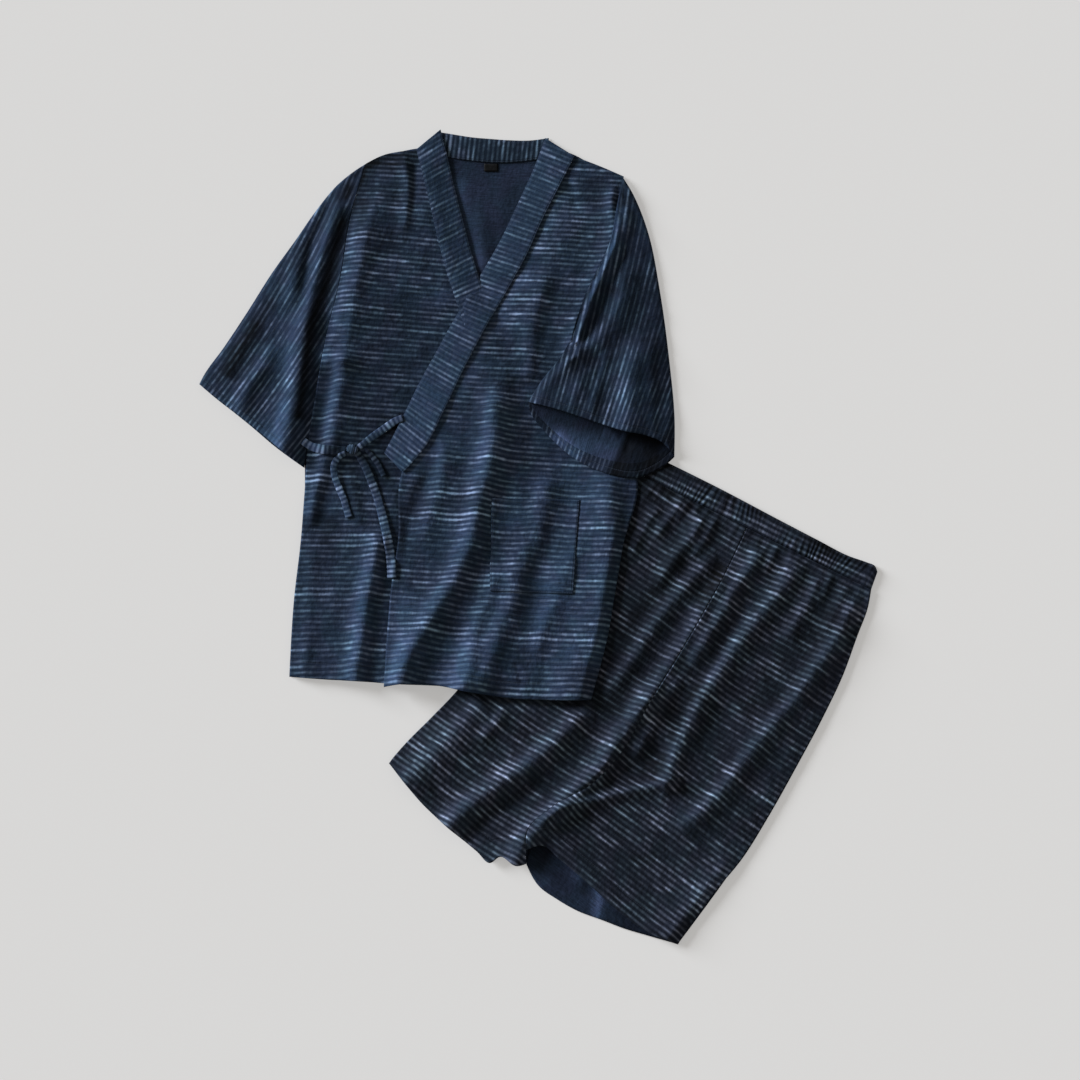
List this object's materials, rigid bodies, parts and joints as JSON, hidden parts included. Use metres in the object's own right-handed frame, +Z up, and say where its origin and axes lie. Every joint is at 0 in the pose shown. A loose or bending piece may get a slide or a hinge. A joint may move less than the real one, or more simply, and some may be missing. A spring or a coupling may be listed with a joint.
{
  "type": "jinbei set, jacket and shorts laid flat",
  "caption": "Striped navy cotton jinbei set laid flat: a short wrap jacket tied at the side, lying over gathered shorts.",
  "frame": {"origin": "middle of the set's bounding box, on the surface that it lies on", "axes": "+Z up from the surface, +Y from the jacket's hem to its neck, +X to the wearer's left"},
  "size_m": [0.908, 1.0874, 0.032],
  "materials": {
    "jacket_cloth": "matt slub cotton, pale broken stripes woven in",
    "band_cloth": "matt slub cotton, pale broken stripes woven in",
    "shorts_cloth": "matt slub cotton, pale broken stripes woven in",
    "tie_cloth": "matt slub cotton, pale broken stripes woven in",
    "label": "smooth woven tape, bare"
  },
  "bodies": {
    "root": {"jacket_back": "jacket_cloth", "jacket_front_right": "jacket_cloth", "jacket_front_left": "jacket_cloth", "sleeve_right": "jacket_cloth", "sleeve_left": "jacket_cloth", "neckband_right": "band_cloth", "neckband_back": "band_cloth", "neckband_left": "band_cloth", "pocket": "jacket_cloth", "neck_label": "label", "tie_side": "tie_cloth", "tie_band": "tie_cloth", "tie_knot": "tie_cloth", "tie_loop": "tie_cloth", "tie_tail_short": "tie_cloth", "tie_tail_long": "tie_cloth", "shorts_front_right": "shorts_cloth", "shorts_front_left": "shorts_cloth", "shorts_back_right": "shorts_cloth", "shorts_back_left": "shorts_cloth", "waistband": "shorts_cloth"}
  },
  "joints": []
}
